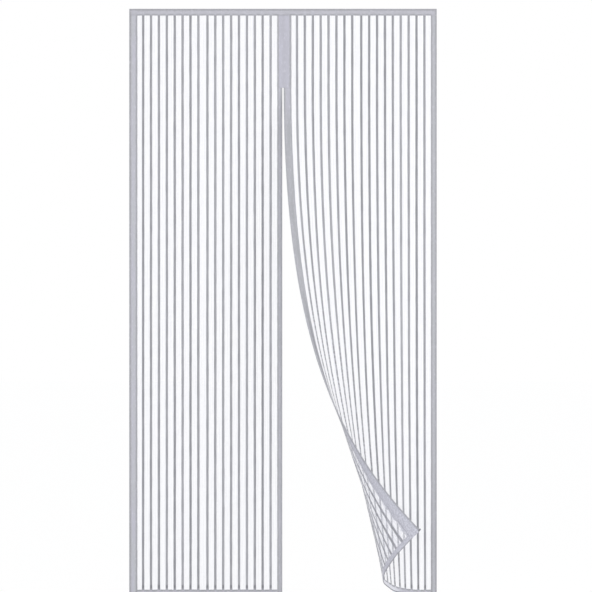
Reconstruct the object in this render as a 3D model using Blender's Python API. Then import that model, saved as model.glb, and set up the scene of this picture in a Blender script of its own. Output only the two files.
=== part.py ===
"""Magnetic insect screen for a doorway: two striped net panels sewn under one header.

The left panel hangs straight. The right one is drawn aside and forward from its inner edge, and its
free corner is folded over to the front. Lengths are in metres. +Z is up and the front faces -Y.
The origin is the middle of the fastening strip's back face on the header.
"""

import math

import bmesh
import bpy
import numpy as np
from mathutils import Matrix, Vector

# Whole screen
SCREEN_WIDTH = 1.100
SCREEN_HEIGHT = 2.100
CLEARANCE = 0.0003

# Join of the two panels, from the header down to where the opening starts
JOIN_LENGTH = 0.283
JOIN_GAP = 0.005

# Net panels: a thin net with denser woven stripes down it
NET_THICKNESS = 0.0005
LEFT_STRIPE_FIRST = 0.0497
RIGHT_STRIPE_FIRST = 0.0440
STRIPE_PITCH = 0.02825
STRIPE_WIDE_STEP = 0.0322
LEFT_OUTER_STRIPES = 8
RIGHT_OUTER_STRIPES = 9
STRIPE_WIDTH = 0.0076
STRIPE_RISE = 0.00025
NET_TUCK = 0.006

# Folded strips sewn round the edges of the net
LEAF = 0.0005
HEADER_WIDTH = 0.024
LEFT_SIDE_WIDTH = 0.0289
RIGHT_SIDE_WIDTH = 0.0208
LEFT_CENTRE_WIDTH = 0.018
RIGHT_CENTRE_WIDTH = 0.0275
HEM_WIDTH = 0.022

# Magnets, one pair for every few steps down the opening
MAGNET_LENGTH = 0.030
MAGNET_WIDTH = 0.008
MAGNET_THICKNESS = 0.0020
MAGNET_CLEARANCE = 0.0006
POCKET_WIDTH = 0.0095
STEPS_PER_MAGNET = 2

# Fastening strips sewn to the back of the header and the two sides
FASTENER_WIDTH = 0.016
FASTENER_THICKNESS = 0.0012
FASTENER_INSET = 0.002

# Drape of the right panel, from the end of the join down
DRAPE_STEPS = 24
WALK_STEPS = 200
STEADY_TURN = math.radians(109)
CORNER_TURN = math.radians(55.7)
CORNER_TURN_POWER = 3.05
FLAT_WIDTH = 0.024
CREASE_SHARE = 0.162
TURN_SPREAD = 1.39
CORNER_RISE = 0.2575
RISE_POWER_DOWN = 3.03
RISE_POWER_ACROSS = 2.14
PRESSED_FLATTER = 0.20
PRESSED_POWER = 3.0

HALF_WIDTH = SCREEN_WIDTH / 2
PANEL_WIDTH = HALF_WIDTH - JOIN_GAP / 2
STRIP_INNER = NET_THICKNESS / 2 + STRIPE_RISE + CLEARANCE
STRIP_OUTER = STRIP_INNER + LEAF
POCKET_INNER = MAGNET_THICKNESS / 2 + MAGNET_CLEARANCE
NET_PLANE_Y = -(STRIP_OUTER + CLEARANCE + FASTENER_THICKNESS)
TOP_Z = HEADER_WIDTH / 2
RIGHT, LEFT = 1, -1


def material(name, colour, roughness, metallic=0.0, alpha=1.0):
    made = bpy.data.materials.new(name)
    made.use_nodes = True
    shader = made.node_tree.nodes["Principled BSDF"]
    shader.inputs["Base Color"].default_value = (*colour, 1)
    shader.inputs["Roughness"].default_value = roughness
    shader.inputs["Metallic"].default_value = metallic
    shader.inputs["Alpha"].default_value = alpha
    made.diffuse_color = (*colour, alpha)
    return made


def add_object(name, bm, finish, smooth_angle=math.radians(25)):
    """Closes the mesh's normals outward and puts it in the scene as one named sub-part."""
    bmesh.ops.recalc_face_normals(bm, faces=bm.faces)
    mesh = bpy.data.meshes.new(name)
    bm.to_mesh(mesh)
    bm.free()
    mesh.shade_smooth()
    mesh.set_sharp_from_angle(angle=smooth_angle)
    mesh.materials.append(finish)
    made = bpy.data.objects.new(name, mesh)
    bpy.context.scene.collection.objects.link(made)
    return made


def turn_at(down):
    """How far the inner edge has turned from facing across the doorway, at a share of the free length."""
    return STEADY_TURN * down + CORNER_TURN * down**CORNER_TURN_POWER


def draped(across, down):
    """Point of the right panel's middle surface, by distance from its outer edge and from its top."""
    free_share = max(0.0, (down - JOIN_LENGTH) / (SCREEN_HEIGHT - JOIN_LENGTH))
    if across <= FLAT_WIDTH or free_share == 0.0:
        return Vector((HALF_WIDTH - across, NET_PLANE_Y, TOP_Z - down))
    free_width = PANEL_WIDTH - FLAT_WIDTH
    reach = (across - FLAT_WIDTH) / free_width
    shares = reach * (np.arange(WALK_STEPS) + 0.5) / WALK_STEPS
    headings = turn_at(free_share) * (CREASE_SHARE + (1 - CREASE_SHARE) * shares**TURN_SPREAD)
    run = np.cos(headings).mean() * reach * free_width
    depth = np.sin(headings).mean() * reach * free_width
    depth *= 1 - PRESSED_FLATTER * free_share**PRESSED_POWER
    rise = CORNER_RISE * free_share**RISE_POWER_DOWN * reach**RISE_POWER_ACROSS
    return Vector((HALF_WIDTH - FLAT_WIDTH - run, NET_PLANE_Y - depth, TOP_Z - down + rise))


def draped_offset(across, down, proud):
    """Point that stands this far proud of the right panel's middle surface, towards its front."""
    nudge = 0.0005
    sideways = draped(across + nudge, down) - draped(across - nudge, down)
    downward = draped(across, down + nudge) - draped(across, down - nudge)
    return draped(across, down) + sideways.cross(downward).normalized() * proud


def flat_offset(across, down, proud, side):
    """The same on a panel that hangs straight, on the right or the left."""
    return Vector((side * (HALF_WIDTH - across), NET_PLANE_Y - proud, TOP_Z - down))


def drape_rows():
    """Distances down the right panel at which its surface is worked out, from the join to the hem."""
    step = (SCREEN_HEIGHT - HEM_WIDTH - JOIN_LENGTH) / DRAPE_STEPS
    return [JOIN_LENGTH + step * i for i in range(DRAPE_STEPS + 1)]


def stripe_middles(first, centre_width, outer_count):
    """Distances of the stripes from the outer edge, from the first to the last that fits.

    A wider gap follows the outer group of stripes.
    """
    last = PANEL_WIDTH - centre_width - STRIPE_WIDTH
    middles = []
    middle = first
    while middle <= last:
        middles.append(middle)
        middle += STRIPE_WIDE_STEP if len(middles) == outer_count else STRIPE_PITCH
    return middles


def net_columns(side_width, stripes, centre_width, extra=()):
    """(distance across, half thickness) of the net from its outer edge to its inner one."""
    half = NET_THICKNESS / 2
    columns = {side_width - NET_TUCK: half, side_width: half}
    for middle in stripes:
        columns[middle - STRIPE_WIDTH / 2] = half
        columns[middle] = half + STRIPE_RISE
        columns[middle + STRIPE_WIDTH / 2] = half
    columns[PANEL_WIDTH - centre_width] = half
    columns[PANEL_WIDTH - centre_width + NET_TUCK] = half
    for across in extra:
        columns.setdefault(across, half)
    return sorted(columns.items())


def quad(bm, low, next_across, far, next_down):
    """Two triangles whose shared edge runs from the first corner to the third."""
    bm.faces.new((low, next_across, far))
    bm.faces.new((low, far, next_down))


def net_body(name, columns, rows, place, finish):
    """Thin closed wall of net with its stripes standing proud on both faces."""
    bm = bmesh.new()
    faces = []
    for facing in (1, -1):
        faces.append([[bm.verts.new(place(a, d, facing * half)) for a, half in columns] for d in rows])
    last_row, last_column = len(rows) - 1, len(columns) - 1
    for grid in faces:
        for i in range(last_row):
            for j in range(last_column):
                quad(bm, grid[i][j], grid[i][j + 1], grid[i + 1][j + 1], grid[i + 1][j])
    front, back = faces
    for i in (0, last_row):
        for j in range(last_column):
            quad(bm, front[i][j], front[i][j + 1], back[i][j + 1], back[i][j])
    for j in (0, last_column):
        for i in range(last_row):
            quad(bm, front[i][j], front[i + 1][j], back[i + 1][j], back[i][j])
    return add_object(name, bm, finish)


def strip_section(width, pocket=False):
    """Matched outer and inner outlines, (depth from the mouth, offset), of a strip folded over an edge.

    With a pocket, the two leaves stand further apart beyond the net's edge, round the magnets.
    """
    bends = [(0.0, STRIP_INNER), (NET_TUCK, STRIP_INNER)]
    inner_half = STRIP_INNER
    if pocket:
        bends += [(width - POCKET_WIDTH - LEAF, POCKET_INNER)]
        inner_half = POCKET_INNER
    bends += [(width - LEAF - inner_half / 2, inner_half), (width - LEAF, inner_half / 2)]
    outer = [(depth, offset + LEAF) for depth, offset in bends[:-1]]
    outer += [(width, inner_half / 2)]
    inner = bends
    outer += [(depth, -offset) for depth, offset in reversed(outer)]
    inner = inner + [(depth, -offset) for depth, offset in reversed(inner)]
    return outer, inner


def folded_strip(name, section, stations, place, finish):
    """Strip folded in half along its length and open at its mouth, swept along its stations."""
    outer, inner = section
    outline = outer + inner[::-1]
    count = len(outline)
    bm = bmesh.new()
    rings = [[bm.verts.new(place(depth, s, proud)) for depth, proud in outline] for s in stations]
    for here, ahead in zip(rings, rings[1:]):
        for k in range(count):
            n = (k + 1) % count
            if outline[n][0] >= outline[k][0]:
                quad(bm, here[k], here[n], ahead[n], ahead[k])
            else:
                quad(bm, here[n], here[k], ahead[k], ahead[n])
    for ring in (rings[0], rings[-1]):
        for k in range(len(outer) - 1):
            quad(bm, ring[k], ring[k + 1], ring[count - 2 - k], ring[count - 1 - k])
    return add_object(name, bm, finish)


def box_body(name, centre, axes, size, finish):
    """Block of this size along three axes."""
    bm = bmesh.new()
    bmesh.ops.create_cube(bm, size=1.0)
    bmesh.ops.scale(bm, vec=size, verts=bm.verts)
    turn = Matrix((axes[0], axes[1], axes[2])).transposed().to_4x4()
    bmesh.ops.transform(bm, matrix=Matrix.Translation(centre) @ turn, verts=bm.verts)
    return add_object(name, bm, finish)


def right_columns():
    """The right net's columns, with one where the net turns forward beside the side strip."""
    stripes = stripe_middles(RIGHT_STRIPE_FIRST, RIGHT_CENTRE_WIDTH, RIGHT_OUTER_STRIPES)
    return net_columns(RIGHT_SIDE_WIDTH, stripes, RIGHT_CENTRE_WIDTH, [FLAT_WIDTH])


def net_rows(inner_rows):
    """Distances down the net, from its tucked upper edge to its tucked lower one."""
    top = HEADER_WIDTH - NET_TUCK
    return [top, HEADER_WIDTH] + inner_rows + [SCREEN_HEIGHT - HEM_WIDTH + NET_TUCK]


def make_panels(net):
    def left_place(across, down, proud):
        return flat_offset(across, down, proud, LEFT)

    left_stripes = stripe_middles(LEFT_STRIPE_FIRST, LEFT_CENTRE_WIDTH, LEFT_OUTER_STRIPES)
    left_columns = net_columns(LEFT_SIDE_WIDTH, left_stripes, LEFT_CENTRE_WIDTH)
    net_body("left_net_panel", left_columns, net_rows([SCREEN_HEIGHT - HEM_WIDTH]), left_place, net)
    net_body("right_net_panel", right_columns(), net_rows(drape_rows()), draped_offset, net)


def make_flat_strips(tape):
    """The header across both panels, the two side strips, and the left panel's centre strip and hem."""

    def header_place(depth, across, proud):
        return Vector((across, NET_PLANE_Y - proud, TOP_Z - HEADER_WIDTH + depth))

    header_ends = [-HALF_WIDTH, HALF_WIDTH]
    folded_strip("header_strip", strip_section(HEADER_WIDTH), header_ends, header_place, tape)

    upright_ends = [HEADER_WIDTH + CLEARANCE, SCREEN_HEIGHT]
    for name, width, side in (
        ("left_side_strip", LEFT_SIDE_WIDTH, LEFT),
        ("right_side_strip", RIGHT_SIDE_WIDTH, RIGHT),
    ):

        def side_place(depth, down, proud, width=width, side=side):
            return flat_offset(width - depth, down, proud, side)

        folded_strip(name, strip_section(width), upright_ends, side_place, tape)

    def left_centre_place(depth, down, proud):
        across = PANEL_WIDTH - LEFT_CENTRE_WIDTH + depth
        return flat_offset(across, down, proud, LEFT)

    section = strip_section(LEFT_CENTRE_WIDTH, pocket=True)
    folded_strip("left_centre_strip", section, upright_ends, left_centre_place, tape)

    def left_hem_place(depth, across, proud):
        return flat_offset(across, SCREEN_HEIGHT - HEM_WIDTH + depth, proud, LEFT)

    hem_ends = [LEFT_SIDE_WIDTH + CLEARANCE, PANEL_WIDTH - LEFT_CENTRE_WIDTH - CLEARANCE]
    folded_strip("left_bottom_hem", strip_section(HEM_WIDTH), hem_ends, left_hem_place, tape)


def make_draped_strips(tape):
    """The right panel's centre strip and hem, which follow its drape on the net's own facets."""
    mouth = PANEL_WIDTH - RIGHT_CENTRE_WIDTH

    def centre_place(depth, down, proud):
        return draped_offset(mouth + depth, down, proud)

    rows = [HEADER_WIDTH + CLEARANCE] + drape_rows()
    rows += [SCREEN_HEIGHT - HEM_WIDTH + NET_TUCK, SCREEN_HEIGHT]
    section = strip_section(RIGHT_CENTRE_WIDTH, pocket=True)
    folded_strip("right_centre_strip", section, rows, centre_place, tape)

    def hem_place(depth, across, proud):
        return draped_offset(across, SCREEN_HEIGHT - HEM_WIDTH + depth, proud)

    first, last = RIGHT_SIDE_WIDTH + CLEARANCE, mouth - CLEARANCE
    stations = [first] + [across for across, _ in right_columns() if first < across < last] + [last]
    folded_strip("right_bottom_hem", strip_section(HEM_WIDTH), stations, hem_place, tape)


def make_magnets(magnet):
    """A magnet in each centre strip's pocket, facing its partner across the opening."""
    outer_side = PANEL_WIDTH - LEAF
    inner_side = outer_side - POCKET_WIDTH
    rows = drape_rows()
    size = (MAGNET_WIDTH, MAGNET_THICKNESS, MAGNET_LENGTH)

    def left_place(across, down):
        return flat_offset(across, down, 0.0, LEFT)

    for side_name, place in (("left", left_place), ("right", draped)):
        for number in range(1, DRAPE_STEPS // STEPS_PER_MAGNET + 1):
            step = STEPS_PER_MAGNET * number - (STEPS_PER_MAGNET + 1) // 2
            corners = [place(a, d) for a in (inner_side, outer_side) for d in rows[step : step + 2]]
            centre = sum(corners, Vector()) / 4
            upward = (corners[0] + corners[2] - corners[1] - corners[3]).normalized()
            across = corners[2] + corners[3] - corners[0] - corners[1]
            facing = upward.cross(across).normalized()
            axes = (facing.cross(upward), facing, upward)
            box_body(f"{side_name}_magnet_{number:02d}", centre, axes, size, magnet)


def make_join_strip(tape):
    """The flat strip across the front of both centre strips that joins the panels above the opening."""
    left_end = -JOIN_GAP / 2 - LEFT_CENTRE_WIDTH
    right_end = JOIN_GAP / 2 + RIGHT_CENTRE_WIDTH
    length = JOIN_LENGTH - HEADER_WIDTH - CLEARANCE
    front = NET_PLANE_Y - POCKET_INNER - LEAF - CLEARANCE - LEAF / 2
    centre = Vector(((left_end + right_end) / 2, front, TOP_Z - JOIN_LENGTH + length / 2))
    axes = (Vector((1, 0, 0)), Vector((0, 1, 0)), Vector((0, 0, 1)))
    box_body("centre_join_strip", centre, axes, (right_end - left_end, LEAF, length), tape)


def make_fasteners(loop):
    """The soft halves of the press-on fastening, sewn flat behind the header and the sides."""
    back = NET_PLANE_Y + STRIP_OUTER + CLEARANCE + FASTENER_THICKNESS / 2
    level, upright = HEADER_WIDTH / 2, (HEADER_WIDTH + SCREEN_HEIGHT) / 2
    axes = (Vector((1, 0, 0)), Vector((0, 1, 0)), Vector((0, 0, 1)))
    long_header = SCREEN_WIDTH - 2 * FASTENER_INSET
    long_side = SCREEN_HEIGHT - HEADER_WIDTH - 2 * FASTENER_INSET
    for name, x, down, size in (
        ("header_fastener", 0.0, level, (long_header, FASTENER_THICKNESS, FASTENER_WIDTH)),
        (
            "left_side_fastener",
            -HALF_WIDTH + LEFT_SIDE_WIDTH / 2,
            upright,
            (FASTENER_WIDTH, FASTENER_THICKNESS, long_side),
        ),
        (
            "right_side_fastener",
            HALF_WIDTH - RIGHT_SIDE_WIDTH / 2,
            upright,
            (FASTENER_WIDTH, FASTENER_THICKNESS, long_side),
        ),
    ):
        box_body(name, Vector((x, back, TOP_Z - down)), axes, size, loop)


def main():
    for old in list(bpy.data.objects):
        bpy.data.objects.remove(old, do_unlink=True)
    net = material("net", (0.84, 0.83, 0.90), 0.75, alpha=0.45)
    tape = material("woven_strip", (0.53, 0.52, 0.58), 0.80)
    magnet = material("magnet", (0.10, 0.10, 0.11), 0.45, metallic=0.6)
    loop = material("loop_pile", (0.80, 0.80, 0.82), 0.95)
    make_panels(net)
    make_flat_strips(tape)
    make_draped_strips(tape)
    make_join_strip(tape)
    make_magnets(magnet)
    make_fasteners(loop)


main()
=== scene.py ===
"""Looks of the magnetic insect screen: fine see-through net, dense woven stripes, folded woven
edgings, their sewing and magnets, and the press-on fastening behind. Lengths are in metres, as
in the frame.
"""

import math

import bpy
import numpy as np
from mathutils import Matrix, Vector


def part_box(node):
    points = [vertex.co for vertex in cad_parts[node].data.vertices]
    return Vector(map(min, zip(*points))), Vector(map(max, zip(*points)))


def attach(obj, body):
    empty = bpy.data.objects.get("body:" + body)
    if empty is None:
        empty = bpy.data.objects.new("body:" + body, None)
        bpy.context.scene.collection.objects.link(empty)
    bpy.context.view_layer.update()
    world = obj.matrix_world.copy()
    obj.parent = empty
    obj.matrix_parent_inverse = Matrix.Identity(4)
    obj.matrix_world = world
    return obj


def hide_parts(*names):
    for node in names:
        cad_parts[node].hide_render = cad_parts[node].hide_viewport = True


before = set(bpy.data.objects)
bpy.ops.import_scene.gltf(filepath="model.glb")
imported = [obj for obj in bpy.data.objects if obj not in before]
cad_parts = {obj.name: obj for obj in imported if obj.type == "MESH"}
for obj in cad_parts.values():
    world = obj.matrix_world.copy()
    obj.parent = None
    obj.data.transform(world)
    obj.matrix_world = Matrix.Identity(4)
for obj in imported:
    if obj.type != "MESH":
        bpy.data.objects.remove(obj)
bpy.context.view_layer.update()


def box_low(node):
    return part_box(node)[0]


def box_high(node):
    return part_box(node)[1]


def box_size(node, axis):
    return box_high(node)[axis] - box_low(node)[axis]


X, Y, Z = 0, 1, 2

# Sizes read from the frame
SCREEN_WIDTH = box_size("header_strip", X)
HALF_WIDTH = SCREEN_WIDTH / 2
TOP_Z = box_high("header_strip")[Z]
SCREEN_HEIGHT = TOP_Z - box_low("left_side_strip")[Z]
HEADER_WIDTH = box_size("header_strip", Z)
LEFT_SIDE_WIDTH = box_size("left_side_strip", X)
RIGHT_SIDE_WIDTH = box_size("right_side_strip", X)
LEFT_CENTRE_WIDTH = box_size("left_centre_strip", X)
HEM_WIDTH = box_size("left_bottom_hem", Z)
JOIN_GAP = -2 * box_high("left_centre_strip")[X]
RIGHT_CENTRE_WIDTH = box_high("centre_join_strip")[X] - JOIN_GAP / 2
JOIN_LENGTH = TOP_Z - box_low("centre_join_strip")[Z]
PANEL_WIDTH = HALF_WIDTH - JOIN_GAP / 2
STRIP_HALF = box_size("header_strip", Y) / 2
POCKET_HALF = box_size("left_centre_strip", Y) / 2
MAGNET_WIDTH = box_size("left_magnet_01", X)
MAGNET_THICKNESS = box_size("left_magnet_01", Y)
MAGNET_LENGTH = box_size("left_magnet_01", Z)
HEM_MOUTH = SCREEN_HEIGHT - HEM_WIDTH
NET_PLANE_Y = (box_low("left_net_panel")[Y] + box_high("left_net_panel")[Y]) / 2

# Sizes repeated from the part's source
CLEARANCE = 0.0003
LEAF = 0.0005
NET_TUCK = 0.006
POCKET_WIDTH = 0.0095

# Drape of the right panel, as in the frame's solids
STEADY_TURN = math.radians(109)
CORNER_TURN = math.radians(55.7)
CORNER_TURN_POWER = 3.05
FLAT_WIDTH = 0.024
CREASE_SHARE = 0.162
TURN_SPREAD = 1.39
CORNER_RISE = 0.2575
RISE_POWER_DOWN = 3.03
RISE_POWER_ACROSS = 2.14
PRESSED_FLATTER = 0.20
PRESSED_POWER = 3.0
DRAPE_STEPS = 24
STEPS_PER_MAGNET = 2

# Stripes woven into the net, on the ribs of the frame's nets and a millimetre wider
LEFT_STRIPE_FIRST = 0.0497
RIGHT_STRIPE_FIRST = 0.0440
STRIPE_PITCH = 0.02825
STRIPE_WIDE_STEP = 0.0322
STRIPE_WIDTH = 0.0086
STRIPE_HALF_THICK = 0.00042
LEFT_OUTER_STRIPES = 8
RIGHT_OUTER_STRIPES = 9
STRIPE_STEPS = 180
STRIPE_RING = 8

# Ripple of the hanging net: its two waves, and how it grows away from the strips and the top
RIPPLE_SLOW = 0.0022
RIPPLE_QUICK = 0.0010
RIPPLE_FROM_STRIP = (0.030, 0.120)
RIPPLE_FROM_TOP = (0.05, 1.2)

# The turned-over corner: the turns from facing the front over which the cloth comes to show its
# back, how far from a right angle its crest reaches, and the turns over which its net creeps, and
# by how much
TURNED_OVER = (math.radians(78), math.radians(100))
CREST_REACH = (math.radians(3), math.radians(8.5))
SLACK_COMES = (math.radians(72), math.radians(112))
FLAP_SLACK = 0.0095

# Distances along the cloth at which the corner's doubled net comes and the strips' mouths go
DOUBLED_NET_COMES = (1.30, 1.62)
CENTRE_MOUTH_GOES = (1.30, 1.60)
HEM_MOUTH_GOES = (0.30, 0.36)

# How far past its edge a panel's shape goes on, as a share of its free width and length
OVERRUN = 1.02

# Net threads
THREAD_PITCH = 0.0016
THREAD_WIDTH = 0.00028
THREAD_APART = 0.00008

# Folded strips: rounded fold, crowned leaves, dense rims and the magnets' bulge
FOLD_ROUND = 0.0016
LEAF_CROWN = 0.00018
FOLD_RIM_FADES = (0.0048, 0.0094)
MOUTH_RIM_FADES = (0.0040, 0.0082)
MAGNET_BULGE = 0.0004

# Sewing
STITCH_PITCH = 0.0044
STITCH_LENGTH = 0.0033
STITCH_RADIUS = 0.00024
STITCH_SUNK = 0.00005
SEAM_FROM_MOUTH = 0.0022
SEAM_FROM_FOLD = 0.0030
SEAM_DEPTH = 0.00022
SEAM_HALF_WIDTH = 0.0007
TACK_HALF = 0.0056
TACK_INSET = 0.0026
TACK_PROUD = 0.0006

SHARP_ANGLE = math.radians(50)
FLOOR_DROP = 0.012
FLOOR_REACH = 30.0

LEFT, RIGHT = -1, 1

# Camera: square on, at the height of the picture's middle
PHOTO_SIZE_PX = 592
PHOTO_TOP_PX = 8.8
PHOTO_MIDLINE_PX = 283.0
METRES_PER_PX = 0.0035775
CAMERA_DISTANCE = 11.74
SENSOR_MM = 36.0


def smooth(value, low, high):
    """0 below low, 1 above high and an even curve between them."""
    share = np.clip((value - low) / (high - low), 0.0, 1.0)
    return share * share * (3 - 2 * share)


# The two hanging surfaces


def drape_tables(rows=701, columns=401):
    """Run and depth of the right panel at even shares of its free length and free width."""
    down = np.linspace(0, 1, rows)[:, None]
    reach = np.linspace(0, 1, columns)[None, :]
    turn = STEADY_TURN * down + CORNER_TURN * down**CORNER_TURN_POWER
    heading = turn * (CREASE_SHARE + (1 - CREASE_SHARE) * reach**TURN_SPREAD)
    step = (PANEL_WIDTH - FLAT_WIDTH) / (columns - 1)
    walked = []
    for rate in (np.cos(heading), np.sin(heading)):
        middles = (rate[:, 1:] + rate[:, :-1]) / 2 * step
        walked.append(np.concatenate([np.zeros((rows, 1)), np.cumsum(middles, axis=1)], axis=1))
    run, depth = walked
    return run, depth * (1 - PRESSED_FLATTER * down**PRESSED_POWER)


RUN_TABLE, DEPTH_TABLE = drape_tables()


def looked_up(table, down_share, reach):
    """Values between the table's points, for arrays of shares."""
    rows, columns = table.shape
    i = np.clip(down_share, 0, 1) * (rows - 1)
    j = np.clip(reach, 0, OVERRUN) * (columns - 1)
    i0 = np.minimum(i.astype(int), rows - 2)
    j0 = np.minimum(j.astype(int), columns - 2)
    fi, fj = i - i0, j - j0
    upper = table[i0, j0] * (1 - fj) + table[i0, j0 + 1] * fj
    lower = table[i0 + 1, j0] * (1 - fj) + table[i0 + 1, j0 + 1] * fj
    return upper * (1 - fi) + lower * fi


def heading_at(side, across, down):
    """How far the cloth has turned there from facing the front, in radians."""
    if side == LEFT:
        return np.zeros_like(across)
    free = np.clip((down - JOIN_LENGTH) / (SCREEN_HEIGHT - JOIN_LENGTH), 0, 1)
    reach = np.clip((across - FLAT_WIDTH) / (PANEL_WIDTH - FLAT_WIDTH), 0, 1)
    turn = STEADY_TURN * free + CORNER_TURN * free**CORNER_TURN_POWER
    return turn * (CREASE_SHARE + (1 - CREASE_SHARE) * reach**TURN_SPREAD)


def slack(side, across, down):
    """How far the net has crept away from the centre strip where the corner is turned over."""
    return FLAP_SLACK * smooth(heading_at(side, across, down), *SLACK_COMES)


def ripple(across, down, side):
    """Slight unevenness of hanging net, gone where it is held by the strips round it."""
    held_outer = smooth(across, *RIPPLE_FROM_STRIP)
    held_inner = smooth(PANEL_WIDTH - across, *RIPPLE_FROM_STRIP)
    loose = smooth(down, *RIPPLE_FROM_TOP) * held_outer * held_inner
    slow = np.sin(across * 34.0 + side * 1.3 + 0.9 * np.sin(down * 2.3))
    quick = np.sin(across * 71.0 - 1.7 * down + side * 0.6)
    return loose * (RIPPLE_SLOW * slow + RIPPLE_QUICK * quick)


def left_surface(across, down):
    y = NET_PLANE_Y - ripple(across, down, LEFT)
    return np.stack([across - HALF_WIDTH, y, TOP_Z - down], axis=-1)


def right_surface(across, down):
    free = np.clip((down - JOIN_LENGTH) / (SCREEN_HEIGHT - JOIN_LENGTH), 0, OVERRUN)
    reach = np.clip((across - FLAT_WIDTH) / (PANEL_WIDTH - FLAT_WIDTH), 0, None)
    run = looked_up(RUN_TABLE, free, reach)
    depth = looked_up(DEPTH_TABLE, free, reach)
    rise = CORNER_RISE * free**RISE_POWER_DOWN * reach**RISE_POWER_ACROSS
    x = np.where(reach > 0, HALF_WIDTH - FLAT_WIDTH - run, HALF_WIDTH - across)
    return np.stack([x, NET_PLANE_Y - depth, TOP_Z - down + rise], axis=-1)


def facing(surface, across, down, side):
    """Unit normals towards the front of the panel."""
    nudge = 0.003
    sideways = surface(across + nudge, down) - surface(across - nudge, down)
    downward = surface(across, down + nudge) - surface(across, down - nudge)
    normal = np.cross(sideways, downward) * side
    return normal / np.linalg.norm(normal, axis=-1, keepdims=True)


def on_panel(side, across, down, proud):
    """Points standing proud of the left or right panel, for numbers or arrays that broadcast together."""
    across, down, proud = np.broadcast_arrays(*(np.asarray(a, float) for a in (across, down, proud)))
    surface = left_surface if side == LEFT else right_surface
    points = surface(across, down)
    normal = facing(surface, across, down, side)
    if side == RIGHT:
        proud = proud + ripple(across, down, RIGHT)
    return points + normal * proud[..., None]


def on_header(depth, across, proud):
    depth, across, proud = np.broadcast_arrays(depth, across, proud)
    return np.stack([across, NET_PLANE_Y - proud, TOP_Z - HEADER_WIDTH + depth], axis=-1)


# Meshes


def mesh_piece(name, points, faces, finish, cloth):
    """One mesh from points (n, 3) and faces, with each point's place on its cloth as an attribute."""
    mesh = bpy.data.meshes.new(name)
    mesh.from_pydata(points.reshape(-1, 3).tolist(), [], faces)
    place = mesh.attributes.new("cloth", "FLOAT_VECTOR", "POINT")
    place.data.foreach_set("vector", np.ascontiguousarray(cloth.reshape(-1, 3), np.float32).ravel())
    mesh.materials.append(finish)
    mesh.update()
    mesh.shade_smooth()
    mesh.set_sharp_from_angle(angle=SHARP_ANGLE)
    piece = bpy.data.objects.new(name, mesh)
    bpy.context.scene.collection.objects.link(piece)
    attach(piece, "root")
    return piece


def joined_piece(name, parts, finish):
    """One mesh from several parts, each given as its points, faces and cloth."""
    faces = []
    first = 0
    for points, part_faces, _ in parts:
        faces += [tuple(first + k for k in face) for face in part_faces]
        first += points.size // 3
    all_points = np.concatenate([points.reshape(-1, 3) for points, _, _ in parts])
    all_cloth = np.concatenate([cloth.reshape(-1, 3) for _, _, cloth in parts])
    return mesh_piece(name, all_points, faces, finish, all_cloth)


def grid_faces(rows, columns, first=0, wrap=False):
    """Quads of a grid whose points are counted row by row; wrap joins each row's two ends."""
    faces = []
    for i in range(rows - 1):
        for j in range(columns if wrap else columns - 1):
            a = first + i * columns + j
            b = first + i * columns + (j + 1) % columns
            faces.append((a, b, b + columns, a + columns))
    return faces


def tube_faces(rows, ring, first=0):
    """Faces of rings of points one after another, with a cap on each end."""
    last = first + (rows - 1) * ring
    caps = [tuple(first + k for k in reversed(range(ring))), tuple(last + k for k in range(ring))]
    return grid_faces(rows, ring, first, wrap=True) + caps


PANELS = {
    LEFT: ("left", LEFT_SIDE_WIDTH, LEFT_CENTRE_WIDTH),
    RIGHT: ("right", RIGHT_SIDE_WIDTH, RIGHT_CENTRE_WIDTH),
}
STRIPES = {
    LEFT: (LEFT_STRIPE_FIRST, LEFT_OUTER_STRIPES),
    RIGHT: (RIGHT_STRIPE_FIRST, RIGHT_OUTER_STRIPES),
}

# Points along the threads that run down and along those that run across
THREAD_STEPS = {LEFT: (26, 25), RIGHT: (80, 37)}


def stripe_middles(side):
    middle, outer_count = STRIPES[side]
    last = PANEL_WIDTH - PANELS[side][2] - STRIPE_WIDTH
    middles = []
    while middle <= last:
        middles.append(middle)
        middle += STRIPE_WIDE_STEP if len(middles) == outer_count else STRIPE_PITCH
    return middles


def near_stripe(side, across):
    """1 on a stripe's middle and 0 well beside it."""
    apart = np.abs(np.asarray(across)[..., None] - np.array(stripe_middles(side))).min(axis=-1)
    fades_over = 0.62 * STRIPE_WIDTH
    return np.exp(-((apart / fades_over) ** 2))


def net_limits(side):
    """The net's own edges, tucked into the strips: outer, inner, top and bottom."""
    _, side_width, centre_width = PANELS[side]
    outer = side_width - NET_TUCK
    inner = PANEL_WIDTH - centre_width + NET_TUCK
    return outer, inner, HEADER_WIDTH - NET_TUCK, HEM_MOUTH + NET_TUCK


def make_net(side, finish):
    """The continuous fine net of a panel, as a single surface."""
    outer, inner, top, bottom = net_limits(side)
    across, down = np.meshgrid(np.linspace(outer, inner, 120), np.linspace(top, bottom, 190))
    points = on_panel(side, across, down, 0.0)
    cloth = np.stack([across, down, heading_at(side, across, down)], axis=-1)
    return mesh_piece(f"{PANELS[side][0]}_net", points, grid_faces(*across.shape), finish, cloth)


def thread(side, across, down, proud):
    """One flat thread as a part of a mesh: rows of points along its two edges."""
    across, down = np.broadcast_arrays(across, down)
    cloth = np.stack([across, down, np.zeros_like(across)], axis=-1)
    return on_panel(side, across, down, proud), grid_faces(*across.shape), cloth


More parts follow.
